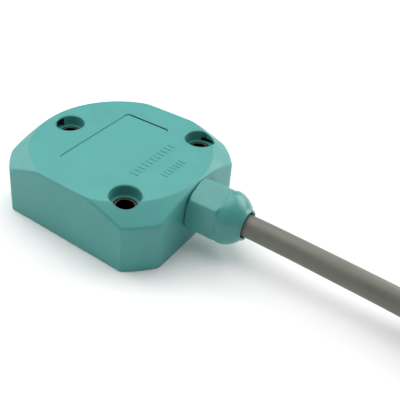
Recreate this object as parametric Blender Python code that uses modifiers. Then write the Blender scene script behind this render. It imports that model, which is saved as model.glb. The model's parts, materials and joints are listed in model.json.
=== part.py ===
"""Surface-mounted proximity sensor with a screwed cable gland and a coiled connection cable.

Frame: metres, +Z up. The origin is on the mounting plane, in the middle of the housing. The cable leaves
along +X and the sensing face looks along +Z.
"""
import math

import bmesh
import bpy
from mathutils import Matrix, Vector

MM = 0.001
GAP = 0.3 * MM

# Housing: a disc cut flat on four sides, with a conical bevel round a flat top
HOUSING_HALF_X = 31.0 * MM
HOUSING_HALF_Y = 29.0 * MM
HOUSING_HEIGHT = 21.0 * MM
CORNER_RADIUS = 37.0 * MM
TOP_RADIUS = 30.2 * MM
BEVEL_SLOPE = 0.70
WALL = 3.0 * MM
REBATE_WALL = 2.0 * MM
REBATE_HEIGHT = 2.7 * MM
CAVITY_TOP = 15.0 * MM

# Three mounting holes with metal bushings
HOLE_PLACES = {"rear": (-22.4 * MM, 0.0), "front": (17.9 * MM, -20.4 * MM), "right": (17.9 * MM, 20.4 * MM)}
PILLAR_RADIUS = 7.0 * MM
COUNTERBORE_RADIUS = 5.0 * MM
COUNTERBORE_DEPTH = 3.8 * MM
BUSHING_RADIUS = 3.6 * MM
BUSHING_BORE_RADIUS = 2.75 * MM
# Undercut pockets in the outer walls of two counterbores: middle angle, depth of top edge, width, height
POCKETS = {"rear": (180.0, 0.9 * MM, 3.6 * MM, 2.9 * MM), "right": (85.0, 2.5 * MM, 5.0 * MM, 1.3 * MM)}
POCKET_DEPTH = 1.2 * MM
# Round cutters are turned by this, so that none of their edges lies on an edge of the housing
CUTTER_TURN = math.radians(2.3)

# Label plate in its recess
LABEL_CENTRE_X = -1.95 * MM
LABEL_HALF_X = 9.15 * MM
LABEL_HALF_Y = 18.3 * MM
LABEL_CORNER = 1.6 * MM
LABEL_RECESS = 1.1 * MM
LABEL_STEP = 0.35 * MM
LABEL_GROOVE = 0.3 * MM

# Gland: a threaded stub on the housing, a seal, a slip washer and a compression nut
GLAND_HEIGHT = 12.5 * MM
STUB_END = 42.2 * MM
STUB_RADIUS = 6.5 * MM
THREAD_PITCH = 1.5 * MM
THREAD_DEPTH = 0.5 * MM
SEAL_SEAT = 37.0 * MM
SEAL_SEAT_RADIUS = 5.2 * MM
NUT_START = 31.3 * MM
NUT_HEX_END = 41.2 * MM
NUT_DOME_LENGTH = 7.9 * MM
NUT_DOME_RADIUS = 8.5 * MM
NUT_ACROSS_FLATS = 16.2 * MM
NUT_CORNER_ANGLE = 22.0
NUT_BORE_RADIUS = 6.8 * MM
NUT_MOUTH_RADIUS = 4.1 * MM

# Cable, its lead to the coil and the coil itself
CABLE_RADIUS = 3.5 * MM
CABLE_BORE_RADIUS = 3.8 * MM
CABLE_INNER_END = 26.0 * MM
COIL_MEAN_RADIUS = 36.0 * MM
COIL_BASE = 1.3 * MM
COIL_CENTRE = Vector((156.3 * MM, 17.5 * MM, 0.0))
COIL_START_DIRECTION = -139.3
COIL_TURN_ANGLE = 330.0
COIL_RAMP_ANGLE = 110.0
TAIL_START_ANGLE = 2672.0
TAIL_END_ANGLE = 2785.0
TIE_DIRECTION = 60.0
TIE_WIDTH = 4.8 * MM
TIE_THICKNESS = 1.0 * MM
LEAD_ROUTE = [
    (26.0, 0.0, 12.5), (34.0, 0.0, 12.5), (42.0, 0.0, 12.5), (48.0, 0.0, 12.5), (53.0, 0.02, 12.44),
    (60.0, 0.12, 12.18), (68.0, 0.3, 11.75), (76.0, 0.5, 11.25), (84.0, 0.75, 10.7), (91.0, 1.0, 10.15),
    (96.5, 1.23, 9.46), (102.6, 0.94, 8.36), (109.4, -0.72, 6.96),
]

# Electronics inside
BASE_PLATE_THICKNESS = 2.4 * MM
BOARD_BOTTOM = 4.0 * MM
BOARD_TOP = 5.6 * MM
CORE_RADIUS = 15.0 * MM
CORE_POST_RADIUS = 5.5 * MM
CORE_BOTTOM = 6.2 * MM
CORE_TOP = 14.4 * MM
WIRE_RADIUS = 0.65 * MM
FERRULE_RADIUS = 0.9 * MM
STRIPPED_LENGTH = 46.0 * MM
FERRULE_LENGTH = 7.0 * MM

TEAL = (0.145, 0.475, 0.445)
WIRE_COLOURS = {"brown": (0.13, 0.05, 0.025), "blue": (0.02, 0.10, 0.42), "black": (0.012, 0.012, 0.012)}


def clear_scene():
    for old_object in list(bpy.data.objects):
        bpy.data.objects.remove(old_object, do_unlink=True)


clear_scene()
PARTS = bpy.data.collections.new("proximity_sensor")
CUTTERS = bpy.data.collections.new("cutters")
bpy.context.scene.collection.children.link(PARTS)
bpy.context.scene.collection.children.link(CUTTERS)


def material(name, colour, roughness, metallic=0.0):
    """A Principled material, made once for each name."""
    made = bpy.data.materials.get(name)
    if made is None:
        made = bpy.data.materials.new(name)
        made.use_nodes = True
        shader = made.node_tree.nodes["Principled BSDF"]
        shader.inputs["Base Color"].default_value = (*colour, 1.0)
        shader.inputs["Roughness"].default_value = roughness
        shader.inputs["Metallic"].default_value = metallic
    return made


def finish(part, surface, smooth_angle=35.0):
    """Put a mesh part in the parts collection with its material and smooth shading."""
    part.data.materials.clear()
    part.data.materials.append(surface)
    part.data.shade_smooth()
    part.data.set_sharp_from_angle(angle=math.radians(smooth_angle))
    PARTS.objects.link(part)
    return part


def as_cutter(shape):
    """Keep a shape as a hidden helper for Boolean modifiers."""
    shape.hide_render = True
    shape.display_type = 'WIRE'
    CUTTERS.objects.link(shape)
    return shape


def boolean(part, other, operation):
    """Add an exact Boolean modifier that uses a helper shape."""
    modifier = part.modifiers.new(other.name, 'BOOLEAN')
    modifier.operation = operation
    modifier.solver = 'EXACT'
    modifier.object = other
    return modifier


def block(name, centre, size):
    """A box as a cube primitive with its size in the mesh."""
    mesh = bpy.data.meshes.new(name)
    shape = bmesh.new()
    bmesh.ops.create_cube(shape, size=1.0, matrix=Matrix.Diagonal((*size, 1.0)))
    shape.to_mesh(mesh)
    shape.free()
    made = bpy.data.objects.new(name, mesh)
    made.location = centre
    return made


def turned(name, profile, closed, segments=64, seam=0.0):
    """A turned shape about local Z. The profile is (radius, height) points down the outer side.

    The seam's angle in degrees keeps the edges of two shapes apart where one cuts the other.
    """
    mesh = bpy.data.meshes.new(name)
    edges = [(index, index + 1) for index in range(len(profile) - 1)]
    if closed:
        edges.append((len(profile) - 1, 0))
    across = math.cos(math.radians(seam))
    along = math.sin(math.radians(seam))
    mesh.from_pydata([(radius * across, radius * along, height) for radius, height in profile], edges, [])
    made = bpy.data.objects.new(name, mesh)
    screw = made.modifiers.new("turn", 'SCREW')
    screw.steps = segments
    screw.render_steps = segments
    screw.use_merge_vertices = True
    screw.merge_threshold = 0.00001
    return made


def lay_along_x(shape):
    """Turn a shape's local Z axis to world +X, at the height of the gland."""
    shape.rotation_euler = (0.0, math.radians(90.0), 0.0)
    shape.location = (0.0, 0.0, GLAND_HEIGHT)
    return shape


def curve_to_mesh(made):
    """Make a closed mesh from a curve object and remove the curve."""
    bpy.context.scene.collection.objects.link(made)
    bpy.context.view_layer.update()
    evaluated = made.evaluated_get(bpy.context.evaluated_depsgraph_get())
    mesh = bpy.data.meshes.new_from_object(evaluated)
    shape = bmesh.new()
    shape.from_mesh(mesh)
    bmesh.ops.remove_doubles(shape, verts=shape.verts, dist=0.000001)
    shape.to_mesh(mesh)
    shape.free()
    solid = bpy.data.objects.new(made.name, mesh)
    solid.matrix_world = made.matrix_world
    name = made.name
    bpy.data.objects.remove(made, do_unlink=True)
    solid.name = name
    return solid


def plate(name, outlines, bottom, top):
    """A flat plate from closed outlines, the first its edge and the others its holes."""
    curve = bpy.data.curves.new(name, 'CURVE')
    curve.dimensions = '2D'
    curve.fill_mode = 'BOTH'
    curve.extrude = (top - bottom) / 2.0
    for outline in outlines:
        spline = curve.splines.new('POLY')
        spline.points.add(len(outline) - 1)
        for point, (x, y) in zip(spline.points, outline):
            point.co = (x, y, 0.0, 1.0)
        spline.use_cyclic_u = True
    made = bpy.data.objects.new(name, curve)
    made.location = (0.0, 0.0, (bottom + top) / 2.0)
    return curve_to_mesh(made)


def tube(name, points, radius, surface, resolution=3):
    """A round tube along points, with filled ends."""
    curve = bpy.data.curves.new(name, 'CURVE')
    curve.dimensions = '3D'
    curve.bevel_depth = radius
    curve.bevel_resolution = resolution
    curve.use_fill_caps = True
    spline = curve.splines.new('POLY')
    spline.points.add(len(points) - 1)
    for target, point in zip(spline.points, points):
        target.co = (*point, 1.0)
    curve.materials.append(surface)
    made = bpy.data.objects.new(name, curve)
    PARTS.objects.link(made)
    return made


def arc(centre, radius, start, end, steps):
    """Points on a circle from one angle to another, in degrees."""
    points = []
    for step in range(steps + 1):
        angle = math.radians(start + (end - start) * step / steps)
        points.append((centre[0] + radius * math.cos(angle), centre[1] + radius * math.sin(angle)))
    return points


def housing_outline(inset, steps=10):
    """The housing's plan: a circle cut flat on four sides, moved inwards by inset."""
    radius = CORNER_RADIUS - inset
    flat_x = math.degrees(math.acos((HOUSING_HALF_X - inset) / radius))
    flat_y = math.degrees(math.asin((HOUSING_HALF_Y - inset) / radius))
    points = arc((0.0, 0.0), radius, flat_x, flat_y, steps)
    points += arc((0.0, 0.0), radius, 180.0 - flat_y, 180.0 - flat_x, steps)
    points += arc((0.0, 0.0), radius, 180.0 + flat_x, 180.0 + flat_y, steps)
    points += arc((0.0, 0.0), radius, 360.0 - flat_y, 360.0 - flat_x, steps)
    return points


def rounded_rectangle(centre_x, half_x, half_y, corner, steps=5):
    """A rectangle with round corners."""
    points = []
    corners = ((1, 1, 0.0), (-1, 1, 90.0), (-1, -1, 180.0), (1, -1, 270.0))
    for side_x, side_y, start in corners:
        centre = (centre_x + side_x * (half_x - corner), side_y * (half_y - corner))
        points += arc(centre, corner, start, start + 90.0, steps)
    return points


def smooth_route(route, spacing):
    """Evenly spaced points on a Catmull-Rom curve through a route's points."""
    knots = [Vector(point) for point in route]
    knots = [2.0 * knots[0] - knots[1]] + knots + [2.0 * knots[-1] - knots[-2]]
    dense = []
    for index in range(1, len(knots) - 2):
        before, start, end, after = knots[index - 1:index + 3]
        for step in range(20):
            t = step / 20.0
            dense.append(0.5 * (2.0 * start + (end - before) * t
                                + (2.0 * before - 5.0 * start + 4.0 * end - after) * t * t
                                + (3.0 * start - before - 3.0 * end + after) * t * t * t))
    dense.append(knots[-2])
    points = [dense[0]]
    travelled = 0.0
    for previous, current in zip(dense, dense[1:]):
        travelled += (current - previous).length
        if travelled >= spacing:
            points.append(current)
            travelled = 0.0
    points[-1] = dense[-1]
    return points


def pillar_cutter(name, radius, bottom, top):
    """One cutter made of three cylinders, one round each mounting hole."""
    mesh = bpy.data.meshes.new(name)
    shape = bmesh.new()
    for x, y in HOLE_PLACES.values():
        place = Matrix.Translation((x, y, (bottom + top) / 2.0)) @ Matrix.Rotation(CUTTER_TURN, 4, 'Z')
        bmesh.ops.create_cone(shape, cap_ends=True, segments=40, radius1=radius, radius2=radius,
                              depth=top - bottom, matrix=place)
    shape.to_mesh(mesh)
    shape.free()
    return as_cutter(bpy.data.objects.new(name, mesh))


def stub_profile():
    """Mouth and thread rings of the gland stub, from its mouth to inside the wall."""
    profile = [(0.0, STUB_END), (STUB_RADIUS - THREAD_DEPTH, STUB_END)]
    crest = STUB_END - 0.5 * MM
    while crest - THREAD_PITCH > HOUSING_HALF_X + 0.5 * MM:
        profile.append((STUB_RADIUS, crest - 0.35 * MM))
        profile.append((STUB_RADIUS, crest - 0.60 * MM))
        profile.append((STUB_RADIUS - THREAD_DEPTH, crest - THREAD_PITCH + 0.1 * MM))
        crest -= THREAD_PITCH
    profile.append((STUB_RADIUS - THREAD_DEPTH, HOUSING_HALF_X - 1.0 * MM))
    profile.append((0.0, HOUSING_HALF_X - 1.0 * MM))
    return profile


def make_housing():
    bevel_bottom = HOUSING_HEIGHT - (CORNER_RADIUS - TOP_RADIUS) * BEVEL_SLOPE
    housing = turned("housing", [(0.0, HOUSING_HEIGHT), (TOP_RADIUS, HOUSING_HEIGHT),
                                 (CORNER_RADIUS, bevel_bottom), (CORNER_RADIUS, 0.0), (0.0, 0.0)],
                     closed=False, segments=120, seam=1.1)
    flats = as_cutter(block("four_flats", (0.0, 0.0, HOUSING_HEIGHT / 2.0),
                            (2.0 * HOUSING_HALF_X, 2.0 * HOUSING_HALF_Y, 2.0 * HOUSING_HEIGHT)))
    boolean(housing, flats, 'INTERSECT')
    stub = as_cutter(lay_along_x(turned("gland_stub", stub_profile(), closed=False, segments=40, seam=3.3)))
    boolean(housing, stub, 'UNION')

    cavity = as_cutter(plate("cavity", [housing_outline(WALL)], -2.0 * MM, CAVITY_TOP))
    rebate = as_cutter(plate("base_rebate", [housing_outline(REBATE_WALL)], -3.0 * MM, REBATE_HEIGHT))
    boolean(cavity, rebate, 'UNION')
    pillars = pillar_cutter("pillars", PILLAR_RADIUS, -5.0 * MM, 2.0 * HOUSING_HEIGHT)
    boolean(cavity, pillars, 'DIFFERENCE')
    boolean(housing, cavity, 'DIFFERENCE')

    seat = HOUSING_HEIGHT - COUNTERBORE_DEPTH
    bores = pillar_cutter("bushing_bores", BUSHING_RADIUS + GAP, -4.0 * MM, seat + 1.0 * MM)
    boolean(housing, bores, 'DIFFERENCE')
    counterbores = pillar_cutter("counterbores", COUNTERBORE_RADIUS, seat, HOUSING_HEIGHT + 3.0 * MM)
    boolean(housing, counterbores, 'DIFFERENCE')
    for name, (angle, top_edge, width, height) in POCKETS.items():
        x, y = HOLE_PLACES[name]
        reach = COUNTERBORE_RADIUS + POCKET_DEPTH
        length = reach - 2.0 * MM
        middle = reach - length / 2.0
        turn = math.radians(angle)
        pocket = as_cutter(block("pocket_" + name,
                                 (x + middle * math.cos(turn), y + middle * math.sin(turn),
                                  HOUSING_HEIGHT - top_edge - height / 2.0), (length, width, height)))
        pocket.rotation_euler = (0.0, 0.0, turn)
        boolean(housing, pocket, 'DIFFERENCE')

    recess = as_cutter(plate("label_recess",
                             [rounded_rectangle(LABEL_CENTRE_X, LABEL_HALF_X, LABEL_HALF_Y, LABEL_CORNER)],
                             HOUSING_HEIGHT - LABEL_RECESS, HOUSING_HEIGHT + 1.0 * MM))
    boolean(housing, recess, 'DIFFERENCE')
    cable_way = as_cutter(lay_along_x(turned("cable_way", [
        (0.0, STUB_END + 1.0 * MM), (SEAL_SEAT_RADIUS, STUB_END + 1.0 * MM), (SEAL_SEAT_RADIUS, SEAL_SEAT),
        (CABLE_BORE_RADIUS, SEAL_SEAT), (CABLE_BORE_RADIUS, CABLE_INNER_END - 1.5 * MM),
        (0.0, CABLE_INNER_END - 1.5 * MM)], closed=False, segments=40, seam=1.9)))
    boolean(housing, cable_way, 'DIFFERENCE')
    return finish(housing, material("teal_pbt", TEAL, 0.42), 30.0)


def make_base_plate():
    base = plate("base_plate", [housing_outline(REBATE_WALL + GAP)], 0.0, BASE_PLATE_THICKNESS)
    clearance = pillar_cutter("base_plate_notches", PILLAR_RADIUS + GAP, -1.0 * MM, 4.0 * MM)
    boolean(base, clearance, 'DIFFERENCE')
    return finish(base, material("teal_base", (0.12, 0.41, 0.385), 0.5))


def make_bushings():
    top = HOUSING_HEIGHT - COUNTERBORE_DEPTH + 0.15 * MM
    for name, (x, y) in HOLE_PLACES.items():
        chamfer = 0.25 * MM
        bushing = turned("bushing_" + name, [
            (BUSHING_BORE_RADIUS + chamfer, top), (BUSHING_RADIUS - 0.1 * MM, top),
            (BUSHING_RADIUS, top - 0.1 * MM), (BUSHING_RADIUS, 0.0), (BUSHING_BORE_RADIUS, 0.0),
            (BUSHING_BORE_RADIUS, top - chamfer)], closed=True, segments=40)
        bushing.location = (x, y, 0.0)
        finish(bushing, material("bushing_metal", (0.42, 0.38, 0.33), 0.35, 1.0))


def make_label_plate():
    outline = rounded_rectangle(LABEL_CENTRE_X, LABEL_HALF_X - LABEL_GROOVE, LABEL_HALF_Y - LABEL_GROOVE,
                                LABEL_CORNER - LABEL_GROOVE)
    label = plate("label_plate", [outline], HOUSING_HEIGHT - LABEL_RECESS + GAP, HOUSING_HEIGHT - LABEL_STEP)
    return finish(label, material("label_teal", (0.15, 0.49, 0.46), 0.45))


def make_gland_nut():
    corner_radius = NUT_ACROSS_FLATS / math.sqrt(3.0)
    lip_angle = math.asin((NUT_MOUTH_RADIUS + 0.35 * MM) / NUT_DOME_RADIUS)
    profile = []
    for step in range(9):
        angle = lip_angle + (math.radians(90.0) - lip_angle) * step / 8.0
        profile.append((NUT_DOME_RADIUS * math.sin(angle), NUT_HEX_END + NUT_DOME_LENGTH * math.cos(angle)))
    profile += [(corner_radius, NUT_HEX_END - 0.6 * MM), (corner_radius, NUT_START + 0.7 * MM),
                (corner_radius - 0.8 * MM, NUT_START), (NUT_BORE_RADIUS, NUT_START),
                (NUT_BORE_RADIUS, 43.6 * MM), (5.3 * MM, 45.0 * MM),
                (NUT_MOUTH_RADIUS, 46.2 * MM), (NUT_MOUTH_RADIUS, 47.6 * MM)]
    nut = lay_along_x(turned("gland_nut", profile, closed=True, segments=72))
    # The six corners, counted so that the prism's local X axis points down in the world
    hexagon = []
    for side in range(6):
        turn = math.radians(NUT_CORNER_ANGLE + 60.0 * side)
        world_y = corner_radius * math.cos(turn)
        world_z = corner_radius * math.sin(turn)
        hexagon.append((-world_z, world_y))
    ring = plate("hexagon_ring", [arc((0.0, 0.0), 14.0 * MM, 0.0, 352.5, 47), hexagon],
                 NUT_START - 2.0 * MM, NUT_HEX_END)
    middle = (NUT_START - 2.0 * MM + NUT_HEX_END) / 2.0
    lay_along_x(ring)
    ring.location = (middle, 0.0, GLAND_HEIGHT)
    boolean(nut, as_cutter(ring), 'DIFFERENCE')
    return finish(nut, material("teal_nut", (0.135, 0.45, 0.42), 0.38), 30.0)


def make_gland_inside():
    seal = lay_along_x(turned("seal_insert", [
        (CABLE_BORE_RADIUS + 0.9 * MM, STUB_END - 0.4 * MM), (SEAL_SEAT_RADIUS - GAP, STUB_END - 0.9 * MM),
        (SEAL_SEAT_RADIUS - GAP, SEAL_SEAT + GAP), (CABLE_BORE_RADIUS, SEAL_SEAT + GAP),
        (CABLE_BORE_RADIUS, STUB_END - 0.4 * MM)], closed=True, segments=40))
    finish(seal, material("seal_rubber", (0.03, 0.03, 0.032), 0.8))
    washer = lay_along_x(turned("slip_washer", [
        (5.2 * MM, 43.4 * MM), (6.3 * MM, 43.4 * MM), (6.3 * MM, STUB_END + GAP),
        (4.0 * MM, STUB_END + GAP), (4.0 * MM, 43.4 * MM)], closed=True, segments=40))
    finish(washer, material("slip_nylon", (0.70, 0.69, 0.63), 0.45))


def make_sensing_coil():
    core = turned("ferrite_core", [
        (0.0, CORE_TOP), (CORE_POST_RADIUS, CORE_TOP), (CORE_POST_RADIUS, CORE_BOTTOM + 2.0 * MM),
        (CORE_RADIUS - 2.0 * MM, CORE_BOTTOM + 2.0 * MM), (CORE_RADIUS - 2.0 * MM, CORE_TOP),
        (CORE_RADIUS, CORE_TOP), (CORE_RADIUS, CORE_BOTTOM), (0.0, CORE_BOTTOM)], closed=False, segments=48)
    finish(core, material("ferrite", (0.035, 0.033, 0.033), 0.55))
    hub = CORE_POST_RADIUS + 0.4 * MM
    rim = CORE_RADIUS - 2.4 * MM
    floor = CORE_BOTTOM + 2.4 * MM
    top = CORE_TOP - 0.1 * MM
    skin = 0.8 * MM
    former = turned("coil_former", [
        (rim, top), (rim, top - skin), (hub + skin, top - skin), (hub + skin, floor + skin),
        (rim, floor + skin), (rim, floor), (hub, floor), (hub, top)], closed=True, segments=48)
    finish(former, material("former_plastic", (0.62, 0.60, 0.54), 0.5))
    winding = turned("copper_winding", [
        (rim - 0.3 * MM, top - skin - GAP), (rim - 0.3 * MM, floor + skin + GAP),
        (hub + skin + GAP, floor + skin + GAP), (hub + skin + GAP, top - skin - GAP)],
        closed=True, segments=48)
    finish(winding, material("enamelled_copper", (0.55, 0.20, 0.07), 0.35, 1.0))


def make_circuit_board():
    board = plate("circuit_board", [housing_outline(WALL + 0.5 * MM)], BOARD_BOTTOM, BOARD_TOP)
    notches = pillar_cutter("board_notches", PILLAR_RADIUS + 0.4 * MM, 1.0 * MM, 9.0 * MM)
    boolean(board, notches, 'DIFFERENCE')
    finish(board, material("board_green", (0.02, 0.16, 0.06), 0.4))


def on_board(name, x, y, size, surface):
    """A box-shaped component standing on the circuit board; sizes in millimetres."""
    height = size[2] * MM
    centre = (x * MM, y * MM, BOARD_TOP + GAP + height / 2.0)
    return finish(block(name, centre, (size[0] * MM, size[1] * MM, height)), surface)


def make_components():
    chip_black = material("chip_black", (0.02, 0.02, 0.022), 0.45)
    on_board("oscillator_chip", 0.0, 20.8, (5.0, 4.0, 1.6), chip_black)
    on_board("output_transistor", 0.0, -20.8, (6.5, 6.1, 2.3), chip_black)
    on_board("terminal_block", 20.0, 0.0, (5.0, 9.0, 2.4), material("terminal_grey", (0.25, 0.26, 0.27), 0.5))
    for number, (x, y) in enumerate(((-5.5, 22.3), (-5.5, 19.3), (6.0, 22.3), (6.0, 19.3)), start=1):
        on_board("chip_resistor_%d" % number, x, y, (2.0, 1.25, 0.6), chip_black)
    for number, (x, y) in enumerate(((6.0, -19.3), (6.0, -22.3)), start=1):
        on_board("chip_capacitor_%d" % number, x, y, (2.0, 1.25, 1.0),
                 material("capacitor_tan", (0.42, 0.28, 0.15), 0.5))
    can = turned("smoothing_capacitor", [(0.0, 6.0 * MM), (2.3 * MM, 6.0 * MM), (2.6 * MM, 5.7 * MM),
                                         (2.6 * MM, 0.0), (0.0, 0.0)], closed=False, segments=32)
    can.location = (-12.0 * MM, 18.0 * MM, BOARD_TOP + GAP)
    finish(can, material("can_aluminium", (0.62, 0.63, 0.65), 0.3, 1.0))
    choke = turned("choke", [(0.0, 4.5 * MM), (3.2 * MM, 4.5 * MM), (3.2 * MM, 3.7 * MM), (2.6 * MM, 3.7 * MM),
                             (2.6 * MM, 0.8 * MM), (3.2 * MM, 0.8 * MM), (3.2 * MM, 0.0), (0.0, 0.0)],
                   closed=False, segments=32)
    choke.location = (-12.0 * MM, -18.0 * MM, BOARD_TOP + GAP)
    finish(choke, material("ferrite", (0.035, 0.033, 0.033), 0.55))


def make_inner_wires():
    end = CABLE_INNER_END - GAP
    top = BOARD_TOP + 2.0 * GAP + 2.4 * MM
    for side, (colour, tint) in zip((-1.0, 0.0, 1.0), WIRE_COLOURS.items()):
        start_y = side * 1.7 * MM
        end_y = side * 3.0 * MM
        route = [(end, start_y, GLAND_HEIGHT), (end - 1.6 * MM, start_y, GLAND_HEIGHT),
                 (end - 3.6 * MM, 0.6 * start_y + 0.4 * end_y, GLAND_HEIGHT - 0.4 * MM),
                 (end - 5.2 * MM, 0.2 * start_y + 0.8 * end_y, GLAND_HEIGHT - 1.8 * MM),
                 (20.3 * MM, end_y, top + 1.0 * MM), (20.3 * MM, end_y, top)]
        tube("inner_wire_" + colour, smooth_route(route, 1.0 * MM), WIRE_RADIUS,
             material("wire_" + colour, tint, 0.4), resolution=2)


def coil_places():
    """Radius and height of the cable's middle in each of the nine turns, in winding order: three rows of three."""
    step = 2.0 * CABLE_RADIUS
    inward = [COIL_MEAN_RADIUS + step, COIL_MEAN_RADIUS, COIL_MEAN_RADIUS - step]
    places = []
    for row, across in enumerate((inward, inward[::-1], inward)):
        places += [(radius, COIL_BASE + CABLE_RADIUS + row * step) for radius in across]
    return places


def ease(fraction):
    """A smooth step from 0 to 1."""
    fraction = min(1.0, max(0.0, fraction))
    return fraction * fraction * (3.0 - 2.0 * fraction)


def coil_point(angle, aside=0.0):
    """The cable's middle after winding through an angle in degrees from the coil's start.

    The first turn moves over to the second one just before it closes, and each later turn does so a little
    earlier than the one before. A piece that lies loose in the coil stays aside: up and inwards by that much.
    """
    places = coil_places()
    radius, height = places[0]
    for turn in range(1, len(places)):
        ramp_start = 360.0 - COIL_RAMP_ANGLE + (turn - 1) * COIL_TURN_ANGLE
        moved = ease((angle - ramp_start) / COIL_RAMP_ANGLE)
        radius += (places[turn][0] - places[turn - 1][0]) * moved
        height += (places[turn][1] - places[turn - 1][1]) * moved
    radius -= aside
    direction = math.radians(angle + COIL_START_DIRECTION)
    return COIL_CENTRE + Vector((radius * math.cos(direction), radius * math.sin(direction), height + aside))


def make_cable():
    jacket = material("cable_grey", (0.18, 0.18, 0.155), 0.5)
    route = [(x * MM, y * MM, z * MM) for x, y, z in LEAD_ROUTE]
    tube("cable_lead", smooth_route(route, 3.0 * MM), CABLE_RADIUS, jacket)

    # All nine turns, less the inner place of the top row, where the last turn and the stripped wires lie
    half = 3.0 * CABLE_RADIUS
    round_off = 2.0 * MM
    top = COIL_BASE + 6.0 * CABLE_RADIUS
    shelf = COIL_BASE + 4.0 * CABLE_RADIUS
    outer = COIL_MEAN_RADIUS + half
    inner = COIL_MEAN_RADIUS - half
    wall = inner + 2.0 * CABLE_RADIUS
    ring = turned("cable_coil", [
        (outer - round_off, top), (outer, top - round_off), (outer, COIL_BASE + round_off),
        (outer - round_off, COIL_BASE), (inner + round_off, COIL_BASE), (inner, COIL_BASE + round_off),
        (inner, shelf - round_off), (inner + round_off, shelf), (wall, shelf),
        (wall, top - round_off), (wall + round_off, top)], closed=True, segments=72)
    ring.location = (COIL_CENTRE.x, COIL_CENTRE.y, 0.0)
    finish(ring, jacket)

    steps = 16
    points = []
    for step in range(steps + 1):
        angle = TAIL_START_ANGLE + (TAIL_END_ANGLE - TAIL_START_ANGLE) * step / steps
        points.append(coil_point(angle, aside=GAP))
    tube("cable_tail", points, CABLE_RADIUS, jacket)


def make_cable_tie():
    """A strap round the coil's section, lying in an upright plane through the coil's axis."""
    half = 3.0 * CABLE_RADIUS
    bottom = COIL_BASE - GAP
    top = COIL_BASE + 6.0 * CABLE_RADIUS + 2.0 * GAP
    low = COIL_MEAN_RADIUS - half - 2.0 * GAP
    high = COIL_MEAN_RADIUS + half + GAP
    bend = 1.0 * MM
    inside = [(low + bend, bottom), (high - bend, bottom), (high, bottom + bend), (high, top - bend),
              (high - bend, top), (low + bend, top), (low, top - bend), (low, bottom + bend)]
    far_low = low - TIE_THICKNESS
    far_high = high + TIE_THICKNESS
    head_reach = 4.0 * MM
    bend = 1.4 * MM
    outside = [(far_low + bend, bottom - TIE_THICKNESS), (far_high - bend, bottom - TIE_THICKNESS),
               (far_high, bottom - TIE_THICKNESS + bend), (far_high, 7.0 * MM), (far_high + head_reach, 7.0 * MM),
               (far_high + head_reach, 12.0 * MM), (far_high, 12.0 * MM), (far_high, top + TIE_THICKNESS - bend),
               (far_high - bend, top + TIE_THICKNESS), (far_low + bend, top + TIE_THICKNESS),
               (far_low, top + TIE_THICKNESS - bend), (far_low, bottom - TIE_THICKNESS + bend)]
    tie = plate("cable_tie", [outside, inside], -TIE_WIDTH / 2.0, TIE_WIDTH / 2.0)
    tie.rotation_euler = (math.radians(90.0), 0.0, math.radians(TIE_DIRECTION))
    tie.location = (COIL_CENTRE.x, COIL_CENTRE.y, 0.0)
    return finish(tie, material("tie_black", (0.02, 0.02, 0.02), 0.45))


def make_open_end():
    """Three stripped conductors with crimped ferrules, lying on the coil beyond the jacket's end."""
    radius = COIL_MEAN_RADIUS - 2.0 * CABLE_RADIUS - GAP
    rest = COIL_BASE + 4.0 * CABLE_RADIUS + GAP + FERRULE_RADIUS
    start_height = coil_point(TAIL_END_ANGLE, aside=GAP).z
    jacket_gap = math.degrees(GAP / radius)
    sweep = math.degrees(STRIPPED_LENGTH / radius)
    for side, (colour, tint) in zip((-1.0, 0.0, 1.0), WIRE_COLOURS.items()):
        points = []
        steps = 16
        for step in range(steps + 1):
            part = step / steps
            spread = side * (1.7 * MM + 0.5 * MM * ease(part)) - 0.8 * MM * ease(part)
            angle = math.radians(TAIL_END_ANGLE + COIL_START_DIRECTION + jacket_gap + sweep * part)
            height = start_height + (rest - start_height) * ease(part / 0.5)
            points.append(COIL_CENTRE + Vector(((radius + spread) * math.cos(angle),
                                                (radius + spread) * math.sin(angle), height)))
        tube("end_wire_" + colour, points, WIRE_RADIUS, material("wire_" + colour, tint, 0.4), resolution=2)
        forward = (points[-1] - points[-2]).normalized()
        forward.z = 0.0
        forward.normalize()
        start = points[-1] + forward * GAP
        tube("ferrule_" + colour, [start, start + forward * FERRULE_LENGTH], FERRULE_RADIUS,
             material("tinned_metal", (0.72, 0.72, 0.70), 0.3, 1.0), resolution=2)


make_housing()
make_base_plate()
make_bushings()
make_label_plate()
make_gland_nut()
make_gland_inside()
make_sensing_coil()
make_circuit_board()
make_components()
make_inner_wires()
make_cable()
make_cable_tie()
make_open_end()
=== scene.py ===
"""Looks of the surface-mounted proximity sensor: moulded housing, gland, coiled cable and their materials.

Lengths are in metres in the row frame: +X along the cable, +Z up, origin on the mounting plane.
"""
import json
import math

import bmesh
import bpy
from mathutils import Matrix, Vector


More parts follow.
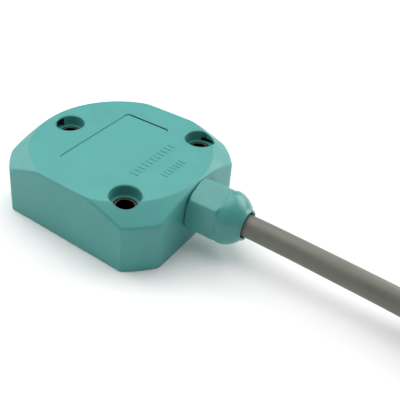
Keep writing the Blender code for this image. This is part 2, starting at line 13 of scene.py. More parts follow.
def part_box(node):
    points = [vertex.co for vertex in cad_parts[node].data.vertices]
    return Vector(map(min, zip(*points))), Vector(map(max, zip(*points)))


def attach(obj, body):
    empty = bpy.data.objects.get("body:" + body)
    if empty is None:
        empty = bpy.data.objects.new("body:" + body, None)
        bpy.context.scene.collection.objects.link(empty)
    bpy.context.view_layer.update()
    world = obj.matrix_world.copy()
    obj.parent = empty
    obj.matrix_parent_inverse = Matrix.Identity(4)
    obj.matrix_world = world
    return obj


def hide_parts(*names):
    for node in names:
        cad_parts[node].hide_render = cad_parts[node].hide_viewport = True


MM = 0.001
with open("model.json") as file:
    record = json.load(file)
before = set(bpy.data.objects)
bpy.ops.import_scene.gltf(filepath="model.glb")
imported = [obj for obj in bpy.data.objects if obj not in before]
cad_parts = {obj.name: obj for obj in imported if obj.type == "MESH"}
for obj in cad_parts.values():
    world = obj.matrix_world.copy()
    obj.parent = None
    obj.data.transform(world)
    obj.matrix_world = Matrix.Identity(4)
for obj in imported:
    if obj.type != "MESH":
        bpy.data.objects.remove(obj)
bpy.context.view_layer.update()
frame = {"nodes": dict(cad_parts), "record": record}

housing_low, housing_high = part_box("housing")
nut_low, nut_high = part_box("gland_nut")
HALF_X = -housing_low.x
HALF_Y = housing_high.y
HEIGHT = 21.0 * MM
AXIS_HEIGHT = (nut_low.z + nut_high.z) / 2.0
CORNER_RADIUS = 37.0 * MM
TOP_RADIUS = 30.2 * MM
BEVEL_SLOPE = 0.70
HOLES = ("rear", "front", "right")
# Holes whose undercut pockets get painted shade
UNDERCUT_HOLES = ("rear", "right")

CABLE_RADIUS = 3.5 * MM
COIL_MEAN_RADIUS = 36.0 * MM
COIL_BASE = 1.3 * MM
COIL_CENTRE = Vector((156.3 * MM, 17.5 * MM, 0.0))
COIL_START_DIRECTION = -139.3
COIL_TURN_ANGLE = 330.0
COIL_RAMP_ANGLE = 110.0
COIL_END_ANGLE = 2785.0
STRIPPED_LENGTH = 46.0 * MM
LEAD_ROUTE = [
    (26.0, 0.0, 12.5), (34.0, 0.0, 12.5), (42.0, 0.0, 12.5), (48.0, 0.0, 12.5), (53.0, 0.02, 12.44),
    (60.0, 0.12, 12.18), (68.0, 0.3, 11.75), (76.0, 0.5, 11.25), (84.0, 0.75, 10.7), (91.0, 1.0, 10.15),
    (96.5, 1.23, 9.46), (102.6, 0.94, 8.36), (108.6, -0.44, 7.13), (114.23, -2.88, 5.98),
    (119.33, -6.29, 5.13),
]


# ---------------------------------------------------------------- camera, light and floor

def make_camera():
    """A camera at the reference view: 40 degrees round from the front and 30 degrees above."""
    camera = bpy.data.objects.new("camera", bpy.data.cameras.new("camera"))
    bpy.context.scene.collection.objects.link(camera)
    camera.data.sensor_width = 36.0
    camera.data.lens = 57.09
    camera.data.shift_x = 0.2613
    camera.data.shift_y = -0.2135
    camera.data.clip_start = 0.01
    place = Matrix.Translation((0.10788, -0.13994, 0.13454))
    turn = Matrix.Rotation(math.radians(40.30), 4, 'Z') @ Matrix.Rotation(math.radians(90.0 - 30.01), 4, 'X')
    camera.matrix_world = place @ turn @ Matrix.Rotation(math.radians(-0.13), 4, 'Z')
    bpy.context.scene.camera = camera


def area_light(name, place, target, size, power):
    data = bpy.data.lights.new(name, 'AREA')
    data.shape = 'RECTANGLE'
    data.size = size[0]
    data.size_y = size[1]
    data.energy = power
    lamp = bpy.data.objects.new(name, data)
    bpy.context.scene.collection.objects.link(lamp)
    lamp.location = place
    lamp.rotation_euler = (Vector(target) - Vector(place)).to_track_quat('-Z', 'Y').to_euler()


def make_studio():
    world = bpy.data.worlds.new("studio")
    bpy.context.scene.world = world
    world.use_nodes = True
    background = world.node_tree.nodes["Background"]
    background.inputs["Color"].default_value = (1.0, 1.0, 1.0, 1.0)
    background.inputs["Strength"].default_value = 0.30
    target = (0.01, 0.0, 0.01)
    area_light("key_above", (-0.12, 0.10, 0.60), target, (0.7, 0.7), 3.5)
    area_light("left_side", (-0.50, -0.10, 0.30), target, (0.5, 0.4), 1.5)
    area_light("back_rim", (0.30, 0.56, 0.34), target, (0.6, 0.4), 3.0)

    surface = bpy.data.materials.new("pale_floor")
    surface.use_nodes = True
    shader = surface.node_tree.nodes["Principled BSDF"]
    shader.inputs["Base Color"].default_value = (0.97, 0.97, 0.97, 1.0)
    shader.inputs["Roughness"].default_value = 0.9
    mesh = bpy.data.meshes.new("floor")
    shape = bmesh.new()
    bmesh.ops.create_grid(shape, x_segments=1, y_segments=1, size=3.0)
    shape.to_mesh(mesh)
    shape.free()
    mesh.materials.append(surface)
    floor = bpy.data.objects.new("floor", mesh)
    bpy.context.scene.collection.objects.link(floor)
    floor.location = (0.0, 0.0, -0.00002)
    bpy.context.scene.view_settings.view_transform = 'Standard'


# ---------------------------------------------------------------- materials

class Surface:
    """A Principled material whose nodes read the object's own coordinates."""

    def __init__(self, name, roughness, metallic=0.0, specular=0.5):
        self.material = bpy.data.materials.new(name)
        self.material.use_nodes = True
        self.nodes = self.material.node_tree.nodes
        self.links = self.material.node_tree.links
        self.shader = self.nodes["Principled BSDF"]
        self.shader.inputs["Roughness"].default_value = roughness
        self.shader.inputs["Metallic"].default_value = metallic
        self.shader.inputs["Specular IOR Level"].default_value = specular
        self.place = self.nodes.new("ShaderNodeTexCoord").outputs["Object"]
        self.bumps = None

    def noise(self, size, detail=2.0, stretch=None):
        """Noise whose features are about size metres; stretch is a scale for each axis."""
        texture = self.nodes.new("ShaderNodeTexNoise")
        texture.inputs["Scale"].default_value = 1.0 / size
        texture.inputs["Detail"].default_value = detail
        source = self.place
        if stretch:
            mapping = self.nodes.new("ShaderNodeMapping")
            mapping.inputs["Scale"].default_value = stretch
            self.links.new(self.place, mapping.inputs["Vector"])
            source = mapping.outputs["Vector"]
        self.links.new(source, texture.inputs["Vector"])
        return texture.outputs["Fac"]

    def blend_colours(self, factor, stops):
        """Colour from a ramp of (position, colour) stops, read at factor."""
        ramp = self.nodes.new("ShaderNodeValToRGB")
        ramp.color_ramp.elements[0].position = stops[0][0]
        ramp.color_ramp.elements[0].color = (*stops[0][1], 1.0)
        ramp.color_ramp.elements[1].position = stops[-1][0]
        ramp.color_ramp.elements[1].color = (*stops[-1][1], 1.0)
        for position, colour in stops[1:-1]:
            ramp.color_ramp.elements.new(position).color = (*colour, 1.0)
        self.links.new(factor, ramp.inputs["Fac"])
        self.links.new(ramp.outputs["Color"], self.shader.inputs["Base Color"])

    def vary_roughness(self, factor, low, high):
        spread = self.nodes.new("ShaderNodeMapRange")
        spread.inputs["From Min"].default_value = 0.3
        spread.inputs["From Max"].default_value = 0.7
        spread.inputs["To Min"].default_value = low
        spread.inputs["To Max"].default_value = high
        self.links.new(factor, spread.inputs["Value"])
        self.links.new(spread.outputs["Result"], self.shader.inputs["Roughness"])

    def add_bump(self, height, distance, strength=1.0):
        bump = self.nodes.new("ShaderNodeBump")
        bump.inputs["Strength"].default_value = strength
        bump.inputs["Distance"].default_value = distance
        self.links.new(height, bump.inputs["Height"])
        if self.bumps is not None:
            self.links.new(self.bumps, bump.inputs["Normal"])
        self.bumps = bump.outputs["Normal"]
        self.links.new(self.bumps, self.shader.inputs["Normal"])


def shade(colour, factor):
    return tuple(min(1.0, channel * factor) for channel in colour)


def moulded_plastic(name, colour, roughness=0.40, grain=0.00032, depth=0.000012, contrast=0.05):
    """Injection-moulded plastic: faint cloudy flow in the colour and a fine spark-eroded grain."""
    surface = Surface(name, roughness)
    cloud = surface.noise(0.011, detail=3.0)
    surface.blend_colours(cloud, [(0.25, shade(colour, 1.0 - contrast)), (0.50, colour),
                                  (0.78, shade(colour, 1.0 + contrast))])
    surface.vary_roughness(surface.noise(0.0045), roughness - 0.03, roughness + 0.06)
    surface.add_bump(surface.noise(0.006, detail=1.0), 0.00006, 0.35)
    surface.add_bump(surface.noise(grain, detail=3.0), depth)
    return surface.material


def extruded_jacket(name, colour, roughness=0.42, contrast=0.07):
    """Soft PVC jacket: slight mottling, handling smudges in the gloss and a faint orange peel."""
    surface = Surface(name, roughness)
    surface.blend_colours(surface.noise(0.0035, detail=4.0), [
        (0.30, shade(colour, 1.0 - contrast)), (0.55, colour), (0.80, shade(colour, 1.0 + contrast))])
    surface.vary_roughness(surface.noise(0.009), roughness - 0.05, roughness + 0.10)
    surface.add_bump(surface.noise(0.0012, detail=2.0), 0.00002, 0.5)
    surface.add_bump(surface.noise(0.00025, detail=2.0), 0.000006)
    return surface.material


def worn_metal(name, colour, roughness, stretch=(1.0, 1.0, 1.0)):
    """Machined or drawn metal: fine tool lines, uneven tarnish and varying gloss."""
    surface = Surface(name, roughness, metallic=1.0)
    surface.blend_colours(surface.noise(0.0014, detail=4.0), [
        (0.30, shade(colour, 0.72)), (0.52, colour), (0.75, shade(colour, 1.18))])
    surface.vary_roughness(surface.noise(0.0006, stretch=stretch), roughness - 0.06, roughness + 0.12)
    surface.add_bump(surface.noise(0.00018, detail=2.0, stretch=stretch), 0.000008)
    return surface.material


def solder_mask(name, colour):
    """Printed board: green mask over faint darker copper areas."""
    surface = Surface(name, 0.32)
    cells = surface.nodes.new("ShaderNodeTexVoronoi")
    cells.inputs["Scale"].default_value = 240.0
    cells.distance = 'CHEBYCHEV'
    surface.links.new(surface.place, cells.inputs["Vector"])
    surface.blend_colours(cells.outputs["Distance"], [(0.0, shade(colour, 1.5)), (0.35, colour),
                                                      (0.9, shade(colour, 0.7))])
    surface.add_bump(cells.outputs["Distance"], 0.00003, 0.5)
    return surface.material


def wound_wire(name, colour):
    """Enamelled copper wire, wound in close rings about Z."""
    surface = Surface(name, 0.28, metallic=1.0)
    wave = surface.nodes.new("ShaderNodeTexWave")
    wave.bands_direction = 'Z'
    wave.inputs["Scale"].default_value = 800.0
    wave.inputs["Distortion"].default_value = 0.4
    surface.links.new(surface.place, wave.inputs["Vector"])
    surface.blend_colours(wave.outputs["Fac"], [(0.0, shade(colour, 0.45)), (0.6, colour),
                                                (1.0, shade(colour, 1.3))])
    surface.add_bump(wave.outputs["Fac"], 0.00008)
    return surface.material


TEAL = (0.068, 0.322, 0.298)
make_camera()
make_studio()

FINISHES = {
    "teal_pbt": moulded_plastic("teal_pbt_plastic", TEAL, 0.40),
    "teal_base": moulded_plastic("teal_base_plastic", shade(TEAL, 0.9), 0.50),
    "label_teal": moulded_plastic("label_teal_plastic", shade(TEAL, 1.01), 0.44, grain=0.0005,
                                  contrast=0.03),
    "teal_nut": moulded_plastic("teal_nut_plastic", shade(TEAL, 0.91), 0.29, depth=0.000008),
    "bushing_metal": worn_metal("bushing_nickel", (0.095, 0.072, 0.055), 0.34, (1.0, 1.0, 8.0)),
    "seal_rubber": extruded_jacket("seal_rubber_black", (0.022, 0.022, 0.024), 0.72),
    "slip_nylon": moulded_plastic("slip_nylon_white", (0.68, 0.67, 0.60), 0.42, contrast=0.03),
    "ferrite": worn_metal("ferrite_sintered", (0.050, 0.047, 0.046), 0.55),
    "former_plastic": moulded_plastic("former_plastic_cream", (0.60, 0.57, 0.49), 0.48),
    "enamelled_copper": wound_wire("enamelled_copper_wire", (0.62, 0.24, 0.08)),
    "board_green": solder_mask("board_green_mask", (0.015, 0.15, 0.055)),
    "chip_black": moulded_plastic("chip_black_epoxy", (0.020, 0.020, 0.022), 0.50, contrast=0.12),
    "terminal_grey": moulded_plastic("terminal_grey_plastic", (0.24, 0.25, 0.26), 0.50),
    "capacitor_tan": moulded_plastic("capacitor_tan_ceramic", (0.42, 0.28, 0.15), 0.45),
    "can_aluminium": worn_metal("can_aluminium_drawn", (0.66, 0.67, 0.69), 0.30, (1.0, 1.0, 0.15)),
    "wire_brown": extruded_jacket("wire_brown_pvc", (0.125, 0.048, 0.024), 0.35),
    "wire_blue": extruded_jacket("wire_blue_pvc", (0.022, 0.105, 0.42), 0.35),
    "wire_black": extruded_jacket("wire_black_pvc", (0.013, 0.013, 0.014), 0.35),
    "cable_grey": extruded_jacket("cable_grey_pvc", (0.150, 0.151, 0.126), 0.40),
    "tie_black": moulded_plastic("tie_black_nylon", (0.020, 0.020, 0.021), 0.40, contrast=0.10),
    "tinned_metal": worn_metal("tinned_copper", (0.72, 0.71, 0.68), 0.30, (8.0, 1.0, 1.0)),
}

# Painted shade: a near-black teal put on the undercut pockets and in the label's recess, where shade falls
UNDERCUT_PAINTED_SHADE = moulded_plastic("undercut_painted_shade", (0.010, 0.030, 0.030), 0.75)


# ---------------------------------------------------------------- shape tools

def new_object(name, mesh):
    made = bpy.data.objects.new(name, mesh)
    bpy.context.scene.collection.objects.link(made)
    return made


def apply_modifiers(piece):
    """Replace a piece's mesh by the result of its modifiers."""
    bpy.context.view_layer.update()
    evaluated = piece.evaluated_get(bpy.context.evaluated_depsgraph_get())
    mesh = bpy.data.meshes.new_from_object(evaluated)
    piece.modifiers.clear()
    piece.data = mesh
    return piece


def boolean(piece, other, operation):
    """Combine a piece with another shape at once, and remove the other shape."""
    modifier = piece.modifiers.new(operation.lower(), 'BOOLEAN')
    modifier.operation = operation
    modifier.solver = 'EXACT'
    modifier.object = other
    apply_modifiers(piece)
    bpy.data.objects.remove(other, do_unlink=True)
    return piece


def clean(piece, distance=0.000002):
    """Merge coincident points, drop empty faces and turn all faces outwards."""
    shape = bmesh.new()
    shape.from_mesh(piece.data)
    bmesh.ops.remove_doubles(shape, verts=shape.verts, dist=distance)
    bmesh.ops.dissolve_degenerate(shape, edges=shape.edges, dist=distance)
    bmesh.ops.recalc_face_normals(shape, faces=shape.faces)
    shape.to_mesh(piece.data)
    shape.free()
    return piece


def from_cad(name, node):
    """A closed copy of a CAD node's mesh, to be worked on."""
    piece = new_object(name, frame["nodes"][node].data.copy())
    piece.data.materials.clear()
    return clean(piece)


def lofted(name, rings, ring_closed=True):
    """A closed surface through rings of points. Open stacks get a flat face at each end."""
    mesh = bpy.data.meshes.new(name)
    shape = bmesh.new()
    rows = [[shape.verts.new(point) for point in ring] for ring in rings]
    count = len(rows[0])
    pairs = list(zip(rows, rows[1:]))
    if ring_closed:
        pairs.append((rows[-1], rows[0]))
    else:
        shape.faces.new(rows[0])
        shape.faces.new(rows[-1])
    for first, second in pairs:
        for index in range(count):
            after = (index + 1) % count
            shape.faces.new((first[index], first[after], second[after], second[index]))
    shape.to_mesh(mesh)
    shape.free()
    return clean(new_object(name, mesh))


def turned(name, profile, segments=96, closed=True, place=Matrix.Identity(4)):
    """A shape turned about Z from (radius, height) points, then moved to its place."""
    rings = []
    for radius, height in profile:
        rings.append([place @ Vector((radius * math.cos(math.tau * step / segments),
                                      radius * math.sin(math.tau * step / segments), height))
                      for step in range(segments)])
    return lofted(name, rings, ring_closed=closed)


ALONG_X = Matrix.Translation((0.0, 0.0, AXIS_HEIGHT)) @ Matrix.Rotation(math.radians(90.0), 4, 'Y')


def rounded_corner(centre, radius, start, end, steps=5):
    """Points (radius, height) of an arc, for the profile of a turned shape."""
    points = []
    for step in range(steps + 1):
        angle = math.radians(start + (end - start) * step / steps)
        points.append((centre[0] + radius * math.cos(angle), centre[1] + radius * math.sin(angle)))
    return points


def finish(piece, slot, body="sensor", smooth_angle=40.0):
    """Give a piece its material, smooth shading and the body that it moves with."""
    piece.data.materials.clear()
    piece.data.materials.append(FINISHES[slot])
    if piece.type == 'MESH':
        piece.data.shade_smooth()
        piece.data.set_sharp_from_angle(angle=math.radians(smooth_angle))
        normals = piece.modifiers.new("weighted_normals", 'WEIGHTED_NORMAL')
        normals.keep_sharp = True
        normals.weight = 80
        apply_modifiers(piece)
    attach(piece, body)
    return piece


def add_bevel(piece, width, segments=3, angle=30.0):
    bevel = piece.modifiers.new("rounded_edges", 'BEVEL')
    bevel.width = width
    bevel.segments = segments
    bevel.limit_method = 'ANGLE'
    bevel.angle_limit = math.radians(angle)
    bevel.harden_normals = False
    return apply_modifiers(piece)


def smooth_min(first, second, blend):
    """The smaller of two values, rounded off where they cross."""
    near = max(blend - abs(first - second), 0.0) / blend
    return min(first, second) - near * near * blend / 4.0


def ease(fraction):
    """A smooth step from 0 to 1."""
    fraction = min(1.0, max(0.0, fraction))
    return fraction * fraction * (3.0 - 2.0 * fraction)


# ---------------------------------------------------------------- housing

SKIN_INSET = 0.05 * MM
LABEL_GROOVE = 0.3 * MM


def plan_radius(angle):
    """The housing's outline seen from above: a circle cut flat on four sides, with softened corners."""
    across = HALF_X / max(abs(math.cos(angle)), 0.01)
    along = HALF_Y / max(abs(math.sin(angle)), 0.01)
    rounded = smooth_min(CORNER_RADIUS, across, 0.55 * MM)
    return smooth_min(rounded, along, 0.22 * MM) - SKIN_INSET


def top_height(radius):
    """The flat top and the conical bevel round it, with a softened edge between them."""
    bevel = HEIGHT - (radius - TOP_RADIUS) * BEVEL_SLOPE - 0.03 * MM
    return smooth_min(HEIGHT, bevel, 0.35 * MM) - 0.01 * MM


def outline_angles():
    """Even steps, with closer ones at the eight upright edges."""
    flat_x = math.degrees(math.acos(HALF_X / CORNER_RADIUS))
    flat_y = math.degrees(math.asin(HALF_Y / CORNER_RADIUS))
    corners = []
    for corner in (flat_x, flat_y):
        corners += [corner, 180.0 - corner, 180.0 + corner, 360.0 - corner]
    angles = [step * 2.5 for step in range(144)]
    angles = [angle for angle in angles if min(abs(angle - corner) for corner in corners) > 1.6]
    for corner in corners:
        angles += [corner + offset * 0.25 for offset in range(-6, 7)]
    return [math.radians(angle) for angle in sorted(angles)]


def rounded_body():
    """The housing's outer form without its holes, as rings from the top's edge to the bottom's."""
    edge = 0.7 * MM
    drop = 0.6 * MM
    foot = 0.35 * MM
    radii = [28.9, 29.5, 29.8, 30.0, 30.15, 30.3, 30.45, 30.65, 30.95, 31.5, 32.5, 33.5, 34.5, 35.5]
    angles = outline_angles()
    rings = []

    def ring(place):
        points = []
        for angle in angles:
            radius, height = place(plan_radius(angle))
            points.append((radius * math.cos(angle), radius * math.sin(angle), height))
        rings.append(points)

    for limit in radii:
        ring(lambda wall: (min(limit * MM, wall - edge), top_height(min(limit * MM, wall - edge))))
    for step in range(7):
        turn = math.radians(90.0 * step / 6.0)
        out = edge * (1.0 - math.sin(turn))
        down = drop * (1.0 - math.cos(turn))
        ring(lambda wall: (wall - out, top_height(wall - out) - down))
    for height in (12.0, 7.0):
        ring(lambda wall: (wall, height * MM))
    for step in range(5):
        turn = math.radians(90.0 * step / 4.0)
        ring(lambda wall: (wall - foot * (1.0 - math.cos(turn)), 0.01 * MM + foot * (1.0 - math.sin(turn))))
    return lofted("housing_shell", rings, ring_closed=False)


def gland_stub():
    """Room for the threaded stub, whose own shape comes from the CAD form."""
    profile = [(6.52 * MM, 42.5 * MM), (6.52 * MM, HALF_X - 3.0 * MM)]
    return turned("gland_stub", profile, closed=False, place=ALONG_X)


def counterbore(centre, floor):
    """A cutter for a screw head's seat: a rounded rim, a smooth wall and a filleted floor."""
    wall = 5.02 * MM
    rim = 0.55 * MM
    fillet = 0.45 * MM
    profile = [(wall + rim + 0.02 * MM, HEIGHT + 0.5 * MM)]
    arc = rounded_corner((wall + rim, HEIGHT - rim), rim, 90.0, 180.0, steps=6)
    profile += [(radius, height - 0.012 * MM) for radius, height in arc]
    profile += rounded_corner((wall - fillet, floor + fillet), fillet, 0.0, -90.0)
    cutter = turned("counterbore", profile, segments=96, closed=False)
    cutter.data.transform(Matrix.Translation((centre.x, centre.y, 0.0)))
    return cutter


def rounded_rectangle(centre, half_x, half_y, corner, height):
    """A ring of points at one height, going round a rectangle with round corners."""
    points = []
    for side_x, side_y, start in ((1, 1, 0.0), (-1, 1, 90.0), (-1, -1, 180.0), (1, -1, 270.0)):
        middle = (centre.x + side_x * (half_x - corner), centre.y + side_y * (half_y - corner))
        points += [(x, y, height) for x, y in rounded_corner(middle, corner, start, start + 90.0, steps=8)]
    return points


def label_rim():
    """A cutter for the label's recess, which rounds its upper edge."""
    low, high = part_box("label_plate")
    centre = (low + high) / 2.0
    half_x = (high.x - low.x) / 2.0 + LABEL_GROOVE
    half_y = (high.y - low.y) / 2.0 + LABEL_GROOVE
    rounding = 0.16 * MM
    slack = 0.01 * MM
    recess_floor = low.z - LABEL_GROOVE
    rings = [rounded_rectangle(centre, half_x - slack, half_y - slack, 1.6 * MM - slack, recess_floor)]
    for step in range(5):
        turn = math.radians(90.0 * step / 4.0)
        out = rounding * (1.0 - math.cos(turn)) - slack
        up = HEIGHT - rounding + rounding * math.sin(turn) - slack
        rings.append(rounded_rectangle(centre, half_x + out, half_y + out, 1.6 * MM + out, up))
    rings.append([(x, y, HEIGHT + 0.5 * MM) for x, y, height in rings[-1]])
    return lofted("label_rim", rings, ring_closed=False)


def make_housing():
    housing = rounded_body()
    boolean(housing, gland_stub(), 'UNION')
    boolean(housing, from_cad("housing_form", "housing"), 'INTERSECT')
    for hole in HOLES:
        low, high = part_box("bushing_" + hole)
        boolean(housing, counterbore((low + high) / 2.0, high.z - 0.16 * MM), 'DIFFERENCE')
    boolean(housing, label_rim(), 'DIFFERENCE')
    clean(housing)
    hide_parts("housing")
    finish(housing, "teal_pbt", smooth_angle=28.0)
    # Painted shade in the undercut pockets and the label's recess
    paint_shade_in_undercuts(housing)


def paint_shade_in_undercuts(housing):
    """Painted shade: a near-black material on the undercuts beside two screw seats and on the floor and far
    wall of the label's recess, where shade falls.
    """
    housing.data.materials.append(UNDERCUT_PAINTED_SHADE)
    seats = []
    for hole in UNDERCUT_HOLES:
        low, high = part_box("bushing_" + hole)
        seats.append(((low + high) / 2.0).to_2d())
    label_low, label_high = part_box("label_plate")
    pocket_reach = (5.2 * MM, 6.8 * MM)
    pocket_depth = (0.7 * MM, 4.5 * MM)
    recess_depth = (0.15 * MM, 2.0 * MM)
    wall_tolerance = 0.1 * MM
    for face in housing.data.polygons:
        place = face.center
        depth = top_height(place.to_2d().length) - place.z
        in_pocket = any(pocket_reach[0] < (place.to_2d() - seat).length < pocket_reach[1] for seat in seats)
        beside_label = label_low.x < place.x < label_high.x
        at_end = beside_label and abs(place.y - label_high.y - LABEL_GROOVE) < wall_tolerance
        under_label = beside_label and face.normal.z > 0.9 and label_low.y < place.y < label_high.y
        if in_pocket and pocket_depth[0] < depth < pocket_depth[1]:
            # painted shade inside the undercut pocket
            face.material_index = 1
        elif (at_end or under_label) and recess_depth[0] < depth < recess_depth[1]:
            # painted shade on the recess's floor and far wall
            face.material_index = 1


def make_label():
    """The blank label plate, a little below the top, with a narrow gap at the far end of its recess."""
    low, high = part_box("label_plate")
    side_gap = 0.05 * MM
    end_gap = 0.15 * MM
    towards_near_end = Vector((0.0, 0.10 * MM, 0.0))
    half_x = (high.x - low.x) / 2.0 + LABEL_GROOVE - side_gap
    half_y = (high.y - low.y) / 2.0 + LABEL_GROOVE - end_gap
    centre = (low + high) / 2.0 - towards_near_end
    rings = [rounded_rectangle(centre, half_x, half_y, 1.55 * MM, height) for height in (high.z, low.z)]
    label = lofted("label_tile", rings, ring_closed=False)
    add_bevel(label, 0.12 * MM)
    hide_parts("label_plate")
    finish(label, "label_teal")


def make_relief_ribs():
    """Two rows of plain raised ribs, as a neutral moulded mark between the label and the gland."""
    rows = (("relief_ribs_long", 13.3, 3.0, 2.0, 11), ("relief_ribs_short", 21.0, 2.6, 1.6, 7))
    for name, x, length, pitch, count in rows:
        mesh = bpy.data.meshes.new(name)
        shape = bmesh.new()
        for number in range(count):
            y = (number - (count - 1) / 2.0) * pitch
            size = (length * MM, 0.62 * MM, 0.62 * MM)
            place = Matrix.Translation((x * MM, y * MM, HEIGHT - 0.12 * MM))
            bmesh.ops.create_cube(shape, size=1.0, matrix=place @ Matrix.Diagonal((*size, 1.0)))
        shape.to_mesh(mesh)
        shape.free()
        ribs = new_object(name, mesh)
        add_bevel(ribs, 0.2 * MM, segments=4)
        finish(ribs, "teal_pbt")


def make_base_plate():
    base = from_cad("base_cover", "base_plate")
    dissolve = base.modifiers.new("flat_faces", 'DECIMATE')
    dissolve.decimate_type = 'DISSOLVE'
    dissolve.angle_limit = math.radians(1.0)
    apply_modifiers(base)
    add_bevel(base, 0.15 * MM, segments=2, angle=50.0)
    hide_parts("base_plate")
    finish(base, "teal_base", smooth_angle=35.0)


def make_bushings():
    """Turned metal sleeves with rounded lips that take the pressure of the screws."""
    for hole in HOLES:
        low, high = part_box("bushing_" + hole)
        centre = (low + high) / 2.0
        outer = (high.x - low.x) / 2.0 + 0.2 * MM
        bore = 2.75 * MM
        lip = 0.22 * MM
        profile = rounded_corner((bore + lip, high.z - lip), lip, 180.0, 90.0)
        profile += rounded_corner((outer - lip, high.z - lip), lip, 90.0, 0.0)
        profile += rounded_corner((outer - lip, low.z + lip), lip, 0.0, -90.0)
        profile += rounded_corner((bore + lip, low.z + lip), lip, 270.0, 180.0)
        bushing = turned("sleeve_" + hole, profile, segments=64,
                         place=Matrix.Translation((centre.x, centre.y, 0.0)))
        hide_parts("bushing_" + hole)
        finish(bushing, "bushing_metal")


# ---------------------------------------------------------------- gland nut

def nut_outer_radius(x, angle):
    """Distance from the axis to the nut's surface: a hexagon that runs into a dome."""
    across_flats = 16.2 * MM
    start = nut_low.x
    hex_end = 41.2 * MM
    dome_radius = 8.45 * MM
    dome_length = 7.9 * MM
    corner = math.radians(22.0 + 30.0)
    from_flat = (angle - corner + math.radians(30.0)) % math.radians(60.0) - math.radians(30.0)
    flat = across_flats / 2.0 / math.cos(from_flat)
    start_chamfer = 8.60 * MM + (x - start) * 1.1
    end_chamfer = 8.50 * MM + max(0.0, hex_end - x) * 1.2
    hexagon = smooth_min(smooth_min(flat, 9.28 * MM, 0.45 * MM), start_chamfer, 0.3 * MM)
    hexagon = smooth_min(hexagon, end_chamfer, 0.35 * MM)
    along = min(1.0, max(0.0, (x - hex_end) / dome_length))
    dome = dome_radius * (1.0 - along * along) ** 0.6
    past = ease((x - hex_end + 0.1 * MM) / (0.4 * MM))
    return hexagon * (1.0 - past) + dome * past


def make_gland_nut():
    segments = 180
    start = nut_low.x
    lip_end = nut_high.x
    stations = [start + 0.02 * MM + step * 0.2 * MM for step in range(4)]
    stations += [start + (1.2 + step * 1.2) * MM for step in range(7)]
    stations += [40.1 * MM + step * 0.1 * MM for step in range(18)]
    stations += [42.3 * MM + step * 0.45 * MM for step in range(12)]
    stations = [x for x in sorted(stations) if x < lip_end - 0.55 * MM]
    rings = []

    def ring(x, radius_at):
        points = []
        for step in range(segments):
            angle = math.tau * step / segments
            radius = radius_at(angle)
            points.append((x, radius * math.cos(angle), AXIS_HEIGHT + radius * math.sin(angle)))
        rings.append(points)

    for x in stations:
        ring(x, lambda angle: nut_outer_radius(x, angle))
    lip = 0.45 * MM
    lip_centre = (4.1 * MM + lip, lip_end - lip)
    for radius, x in rounded_corner(lip_centre, lip, 55.0, 180.0, steps=6):
        ring(x, lambda angle: radius)
    inner = [(4.1, 46.2), (4.4, 45.8), (5.3, 44.9), (6.5, 43.8), (6.75, 43.5), (6.75, 32.4), (6.95, 31.8)]
    for radius, x in inner:
        ring(x * MM, lambda angle: radius * MM)
    ring(start + 0.05 * MM, lambda angle: 7.25 * MM)
    nut = lofted("compression_nut", rings)
    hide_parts("gland_nut")
    finish(nut, "teal_nut", body="nut", smooth_angle=50.0)


# ---------------------------------------------------------------- cable

def smooth_route(route, spacing):
    """Evenly spaced points on a Catmull-Rom curve through a route's points."""
    knots = [Vector(point) for point in route]
    knots = [2.0 * knots[0] - knots[1]] + knots + [2.0 * knots[-1] - knots[-2]]
    dense = []
    for index in range(1, len(knots) - 2):
        before, start, end, after = knots[index - 1:index + 3]
        for step in range(20):
            t = step / 20.0
            dense.append(0.5 * (2.0 * start + (end - before) * t
                                + (2.0 * before - 5.0 * start + 4.0 * end - after) * t * t
                                + (3.0 * start - before - 3.0 * end + after) * t * t * t))
    dense.append(knots[-2])
    points = [dense[0]]
    travelled = 0.0
    for previous, current in zip(dense, dense[1:]):
        travelled += (current - previous).length
        if travelled >= spacing:
            points.append(current)
            travelled = 0.0
    points[-1] = dense[-1]
    return points


def coil_places():
    """Radius and height of the cable's middle in each of the nine turns, in winding order."""
    step = 2.0 * CABLE_RADIUS
    inward = [COIL_MEAN_RADIUS + step, COIL_MEAN_RADIUS, COIL_MEAN_RADIUS - step]
    places = []
    for row, across in enumerate((inward, inward[::-1], inward)):
        places += [(radius, COIL_BASE + CABLE_RADIUS + row * step) for radius in across]
    return places


def coil_point(angle):
    """The cable's middle after winding through an angle in degrees from the coil's start.

    The first turn moves over to the second one just before it closes, and each later turn does so a little
    earlier than the one before.
    """
    places = coil_places()
    radius, height = places[0]
    for turn in range(1, len(places)):
        ramp_start = 360.0 - COIL_RAMP_ANGLE + (turn - 1) * COIL_TURN_ANGLE
        moved = ease((angle - ramp_start) / COIL_RAMP_ANGLE)
        radius += (places[turn][0] - places[turn - 1][0]) * moved
        height += (places[turn][1] - places[turn - 1][1]) * moved
    direction = math.radians(angle + COIL_START_DIRECTION)
    return COIL_CENTRE + Vector((radius * math.cos(direction), radius * math.sin(direction), height))


def round_curve(name, points, radius, slot, resolution=6):
    """A round bar as one open spline with filled ends."""
    curve = bpy.data.curves.new(name, 'CURVE')
    curve.dimensions = '3D'
    curve.bevel_depth = radius
    curve.bevel_resolution = resolution
    curve.use_fill_caps = True
    spline = curve.splines.new('POLY')
    spline.points.add(len(points) - 1)
    for target, point in zip(spline.points, points):
        target.co = (*point, 1.0)
    spline.use_smooth = True
    return finish(new_object(name, curve), slot)


def cable_line():
    route = [(x * MM, y * MM, z * MM) for x, y, z in LEAD_ROUTE]
    start = coil_point(0.0)
    points = smooth_route(route + [tuple(start)], 4.0 * MM)
    steps = 360
    for step in range(1, steps + 1):
        points.append(coil_point(COIL_END_ANGLE * step / steps))
    return points


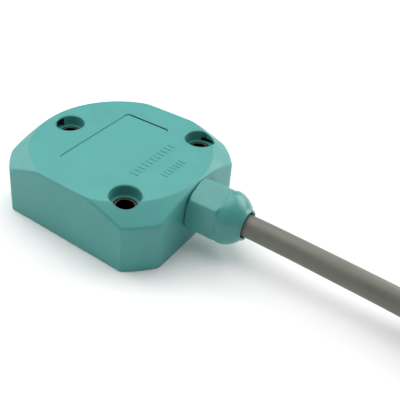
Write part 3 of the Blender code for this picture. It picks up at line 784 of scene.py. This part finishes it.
def make_cable_tie():
    """A ribbed nylon strap round all the turns, with a rounded head and a trimmed end."""
    tie = from_cad("strap", "cable_tie")
    dissolve = tie.modifiers.new("flat_faces", 'DECIMATE')
    dissolve.decimate_type = 'DISSOLVE'
    dissolve.angle_limit = math.radians(2.0)
    apply_modifiers(tie)
    add_bevel(tie, 0.25 * MM, segments=3, angle=40.0)
    clean(tie)
    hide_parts("cable_tie")
    return finish(tie, "tie_black", smooth_angle=35.0)


def make_open_end():
    """Three stripped conductors that lie on the innermost turns, each in a crimped ferrule."""
    radius = COIL_MEAN_RADIUS - 2.0 * CABLE_RADIUS
    rest = COIL_BASE + 4.0 * CABLE_RADIUS + 0.95 * MM
    start_height = coil_point(COIL_END_ANGLE).z
    sweep = math.degrees(STRIPPED_LENGTH / radius)
    made = []
    for side, colour in ((-1.0, "brown"), (0.0, "blue"), (1.0, "black")):
        points = []
        for step in range(41):
            part = step / 40.0
            spread = side * (1.5 * MM + 0.7 * MM * ease(part)) - 1.0 * MM * ease(part)
            angle = math.radians(COIL_END_ANGLE + COIL_START_DIRECTION - 1.0 + (sweep + 1.0) * part)
            height = start_height + (rest - start_height) * ease(part / 0.5)
            points.append(COIL_CENTRE + Vector(((radius + spread) * math.cos(angle),
                                                (radius + spread) * math.sin(angle), height)))
        wire = round_curve("core_" + colour, points, 0.65 * MM, "wire_" + colour, resolution=4)
        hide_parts("end_wire_" + colour)
        forward = points[-1] - points[-2]
        forward.z = 0.0
        place = Matrix.Translation(points[-1]) @ forward.to_track_quat('Z', 'X').to_matrix().to_4x4()
        collar = [(0.66, -1.6), (0.95, -1.5), (0.95, -1.2), (0.86, 0.2), (0.62, 0.9), (0.60, 1.6),
                  (0.66, 1.7), (0.60, 1.9), (0.60, 3.2), (0.66, 3.3), (0.60, 3.5), (0.60, 6.6),
                  (0.50, 6.9)]
        profile = [(across * MM, along * MM) for across, along in reversed(collar)]
        ferrule = turned("crimped_" + colour, profile, segments=24, closed=False, place=place)
        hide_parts("ferrule_" + colour)
        finish(ferrule, "tinned_metal", smooth_angle=50.0)
        made += [wire, ferrule]
    return made


def make_cable():
    line = cable_line()
    cable = round_curve("connection_cable", line, CABLE_RADIUS, "cable_grey", resolution=8)
    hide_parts("cable_lead", "cable_coil", "cable_tail")
    on_it = [make_cable_tie()] + make_open_end()


make_housing()
make_label()
make_relief_ribs()
make_base_plate()
make_bushings()
make_gland_nut()
make_cable()

node_slots = {part["node"]: part["material_slot"] for part in frame["record"]["subparts"]}
for node, kept in frame["nodes"].items():
    if not kept.hide_render:
        kept.data.materials.clear()
        kept.data.materials.append(FINISHES[node_slots[node]])
